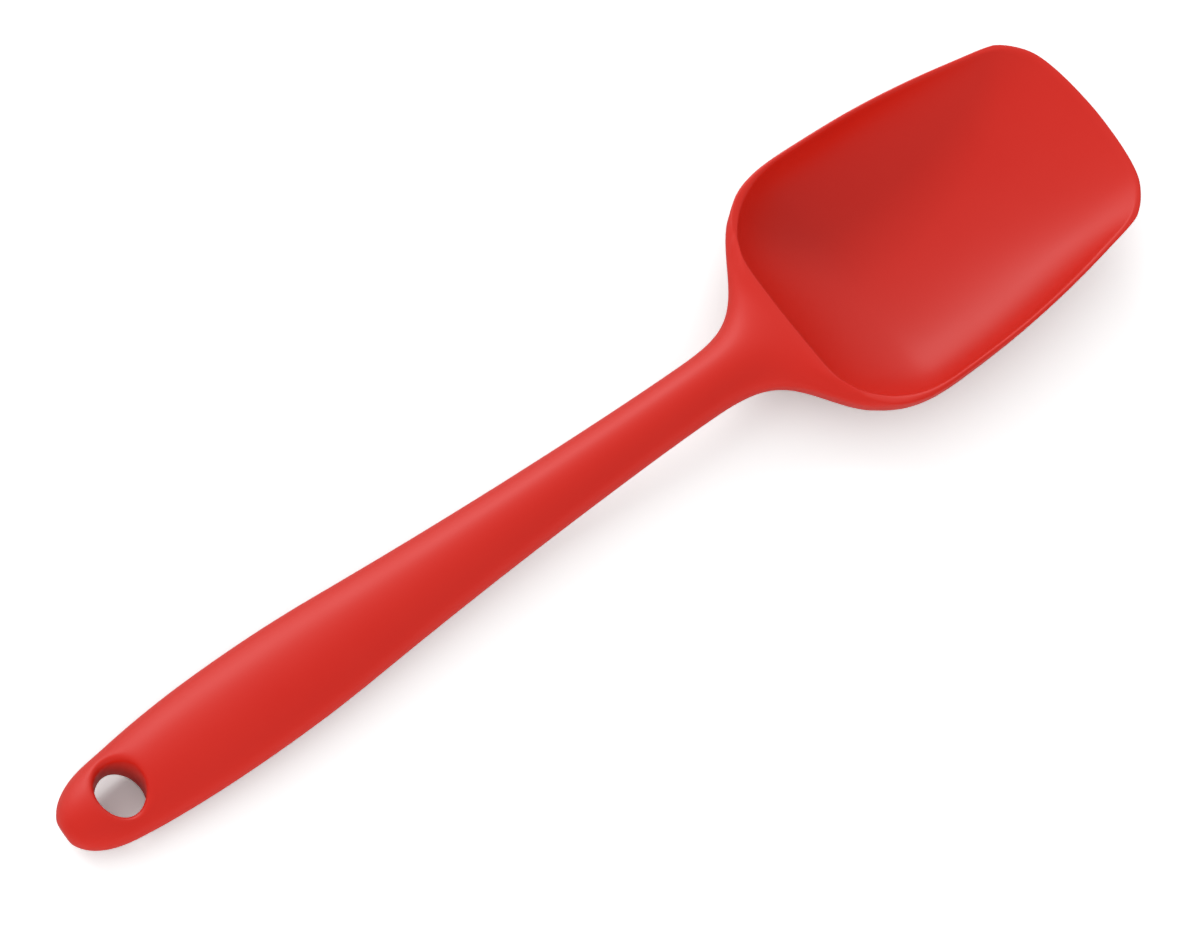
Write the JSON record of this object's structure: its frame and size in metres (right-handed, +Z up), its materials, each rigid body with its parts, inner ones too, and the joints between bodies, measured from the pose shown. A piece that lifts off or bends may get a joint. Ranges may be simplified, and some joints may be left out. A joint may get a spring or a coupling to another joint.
{
  "type": "silicone spatula",
  "caption": "Scooping silicone spatula: a spoon-shaped flexible blade and a tapered handle with an oval hanging hole, moulded without a seam over a stiff nylon core and a steel rod.",
  "frame": {"origin": "on the table, under the middle of the overall length, when the spatula lies with its bowl facing up", "axes": "+X towards the tip of the blade, +Z up out of the bowl, +Y to the left when looking from the handle to the tip"},
  "size_m": [0.27, 0.0642, 0.0185],
  "materials": {
    "red_silicone": "satin, moulded",
    "black_nylon": "matte, injection moulded, glass filled",
    "stainless_steel": "bright drawn rod"
  },
  "bodies": {
    "root": {"silicone_skin": "red_silicone", "nylon_core": "black_nylon", "steel_rod": "stainless_steel"}
  },
  "joints": []
}
